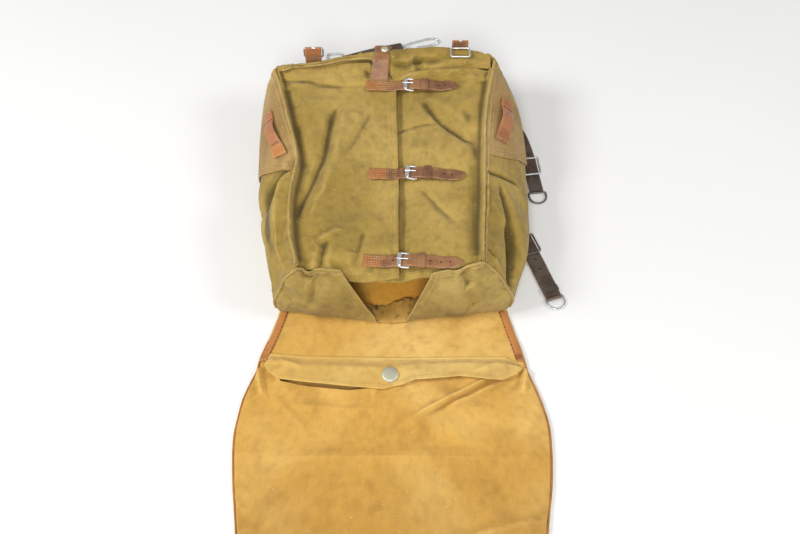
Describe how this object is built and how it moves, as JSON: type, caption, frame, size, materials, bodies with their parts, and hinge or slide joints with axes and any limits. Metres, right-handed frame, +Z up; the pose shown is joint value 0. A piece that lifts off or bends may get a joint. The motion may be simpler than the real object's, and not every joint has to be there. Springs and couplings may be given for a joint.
{
  "type": "military rucksack",
  "caption": "Canvas and leather military rucksack lying on its back, lid folded open to show its lining and pocket, front panels buckled shut, side loops and harness straps.",
  "frame": {"origin": "middle of the footprint, on the surface that the rucksack lies on", "axes": "+Z up, out of the bag's front; +Y from the opened lid towards the bag's bottom wall; +X to the viewer's right"},
  "size_m": [0.3926, 0.9302, 0.1202],
  "materials": {
    "olive_canvas": "matte heavy canvas, faded olive",
    "patch_canvas": "matte heavy canvas, brownish",
    "inner_canvas": "matte canvas, orange tan inside",
    "lining": "matte tan canvas, stained",
    "brown_leather": "worn brown strap leather",
    "tan_leather": "worn orange-brown leather",
    "harness_leather": "dark grey-brown harness leather",
    "steel": "pale worn steel",
    "zinc": "dull greenish grey painted button metal"
  },
  "bodies": {
    "root": {"side_panel_left": "olive_canvas", "side_panel_right": "olive_canvas", "back_panel": "inner_canvas", "bottom_panel": "olive_canvas", "front_panel_left": "olive_canvas", "front_panel_right": "olive_canvas", "top_flap_left": "olive_canvas", "top_flap_right": "olive_canvas", "mouth_facing": "inner_canvas", "side_patch_left": "patch_canvas", "side_patch_right": "patch_canvas", "side_loop_left": "tan_leather", "side_loop_right": "tan_leather", "lid": "lining", "lid_binding_left": "tan_leather", "lid_binding_right": "tan_leather", "lid_pocket": "lining", "pocket_flap": "lining", "pocket_button": "zinc", "closure_strap_upper": "brown_leather", "closure_buckle_upper": "steel", "closure_chape_upper": "brown_leather", "closure_keeper_upper": "brown_leather", "closure_prong_upper": "steel", "closure_strap_middle": "brown_leather", "closure_buckle_middle": "steel", "closure_chape_middle": "brown_leather", "closure_keeper_middle": "brown_leather", "closure_prong_middle": "steel", "closure_strap_lower": "brown_leather", "closure_buckle_lower": "steel", "closure_chape_lower": "brown_leather", "closure_keeper_lower": "brown_leather", "closure_prong_lower": "steel", "centre_tab": "brown_leather", "centre_stud": "zinc", "rim_chape_left": "brown_leather", "rim_buckle_left": "steel", "rim_chape_right": "brown_leather", "rim_buckle_right": "steel", "shoulder_strap_left": "harness_leather", "shoulder_strap_right": "harness_leather", "hook_strap": "harness_leather", "hook_strap_buckle": "steel", "steel_hook": "steel", "upper_tail": "harness_leather", "upper_tail_buckle": "steel", "upper_tail_end": "harness_leather", "upper_tail_ring": "steel", "lower_tail": "harness_leather", "lower_tail_buckle": "steel", "lower_tail_keeper": "harness_leather", "lower_tail_ring": "steel"}
  },
  "joints": []
}
